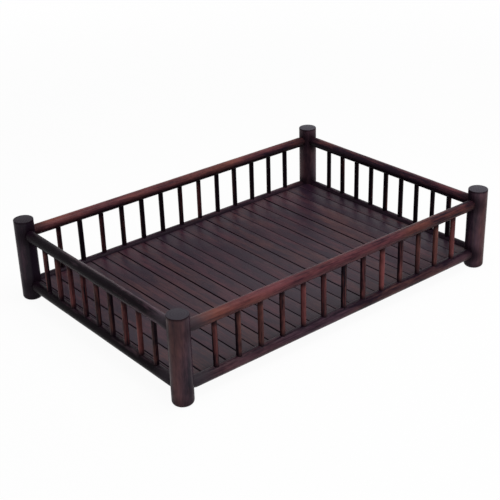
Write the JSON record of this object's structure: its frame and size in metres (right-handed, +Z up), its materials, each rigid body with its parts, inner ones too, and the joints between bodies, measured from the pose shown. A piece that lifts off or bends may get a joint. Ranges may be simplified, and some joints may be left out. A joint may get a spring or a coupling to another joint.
{
  "type": "railed tea tray",
  "caption": "Low rectangular serving tray of dark stained wood with round corner posts, railed sides of slim balusters and a slatted floor, for carrying a tea set.",
  "frame": {"origin": "middle of the footprint, on the surface that the four posts stand on", "axes": "+X along the long side to the right, +Y along the short side to the rear, +Z up"},
  "size_m": [0.4, 0.277, 0.087],
  "materials": {
    "post": "dark red-brown stain, satin, with grey-brown sawn ends",
    "rail": "dark red-brown stain, satin",
    "baluster": "dark red-brown stain, satin",
    "slat": "dark brown stain with fine streaks along the grain, satin",
    "bearer": "dark brown stain, matt"
  },
  "bodies": {
    "root": {"balusters_front": "baluster", "balusters_left": "baluster", "balusters_rear": "baluster", "balusters_right": "baluster", "bearer_front": "bearer", "bearer_rear": "bearer", "bottom_rail_front": "rail", "bottom_rail_left": "rail", "bottom_rail_rear": "rail", "bottom_rail_right": "rail", "edge_strip": "slat", "floor_slat_01": "slat", "floor_slat_02": "slat", "floor_slat_03": "slat", "floor_slat_04": "slat", "floor_slat_05": "slat", "floor_slat_06": "slat", "floor_slat_07": "slat", "floor_slat_08": "slat", "floor_slat_09": "slat", "floor_slat_10": "slat", "floor_slat_11": "slat", "floor_slat_12": "slat", "floor_slat_13": "slat", "floor_slat_14": "slat", "floor_slat_15": "slat", "floor_slat_16": "slat", "floor_slat_17": "slat", "floor_slat_18": "slat", "floor_slat_19": "slat", "floor_slat_20": "slat", "floor_slat_21": "slat", "post_front_left": "post", "post_front_right": "post", "post_rear_left": "post", "post_rear_right": "post", "top_rail_front": "rail", "top_rail_left": "rail", "top_rail_rear": "rail", "top_rail_right": "rail"}
  },
  "joints": []
}
